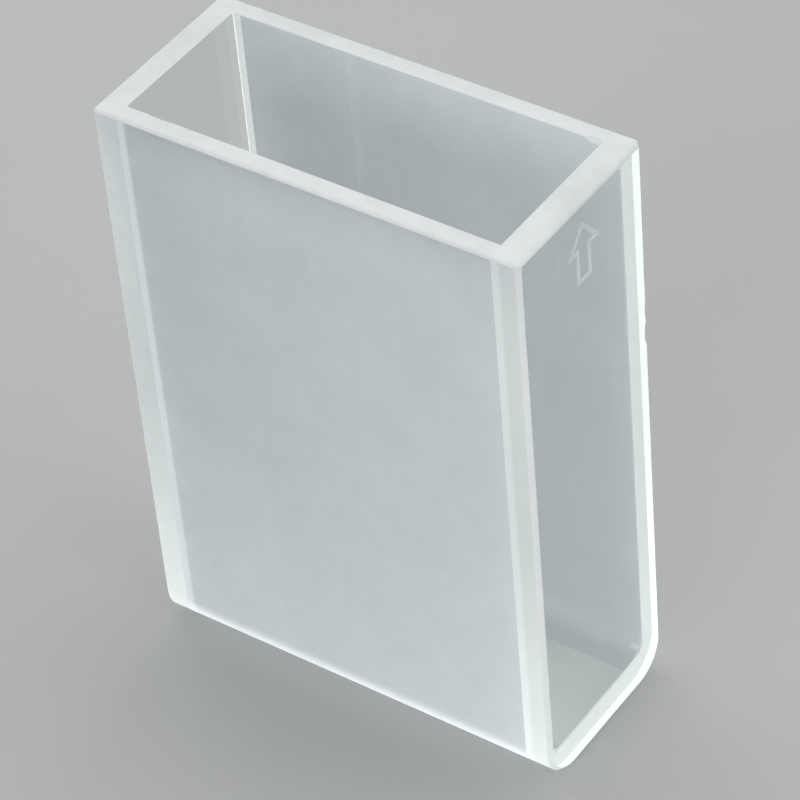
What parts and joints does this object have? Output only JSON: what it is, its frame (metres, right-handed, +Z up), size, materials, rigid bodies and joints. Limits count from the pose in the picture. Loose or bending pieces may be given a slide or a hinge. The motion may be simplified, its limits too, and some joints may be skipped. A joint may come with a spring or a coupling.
{
  "type": "cuvette",
  "caption": "Rectangular glass sample cell, open at the top, with ground front, floor and back in one U-shaped body and a clear window plate fused over each narrow end.",
  "frame": {"origin": "centre of the outside of the base, at the height of the surface the cell stands on", "axes": "+Z up towards the open rim; +X along the light path, from the plain window towards the window with the arrow; +Y from the front wall to the back wall"},
  "size_m": [0.032, 0.0138, 0.045],
  "materials": {
    "ground_glass": "ground matt outside, polished inside",
    "clear_glass": "polished faces with ground edges"
  },
  "bodies": {
    "root": {"body": "ground_glass", "left_window": "clear_glass", "right_window": "clear_glass"}
  },
  "joints": []
}
